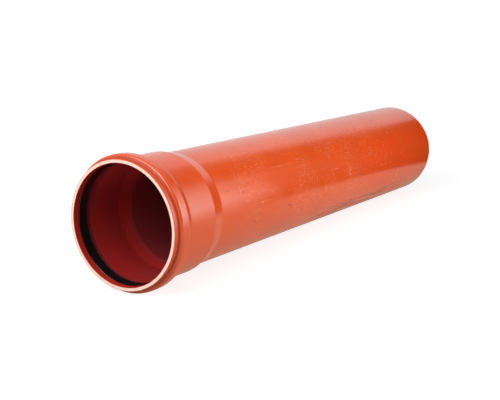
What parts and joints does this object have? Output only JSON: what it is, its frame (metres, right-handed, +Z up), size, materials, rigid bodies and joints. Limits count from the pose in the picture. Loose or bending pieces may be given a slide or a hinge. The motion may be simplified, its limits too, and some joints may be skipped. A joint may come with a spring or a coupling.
{
  "type": "sewer pipe",
  "caption": "Smooth-walled plastic sewer pipe with a belled socket at one end, a rubber lip seal in the socket's groove and a chamfered spigot at the other end.",
  "frame": {"origin": "on the floor under the middle of the pipe's box, as it lies", "axes": "+X along the pipe from the mouth of the socket to the spigot end, +Z up; the pipe's own axis dips 0.84 degrees towards +X, because it lies on its bead and its spigot end"},
  "size_m": [0.5636, 0.1258, 0.1258],
  "materials": {
    "pvc": "satin orange-brown PVC-U with fine handling scuffs and a paler cut rim",
    "rubber": "smooth black moulded rubber"
  },
  "bodies": {
    "root": {"pipe": "pvc", "seal_ring": "rubber"}
  },
  "joints": []
}
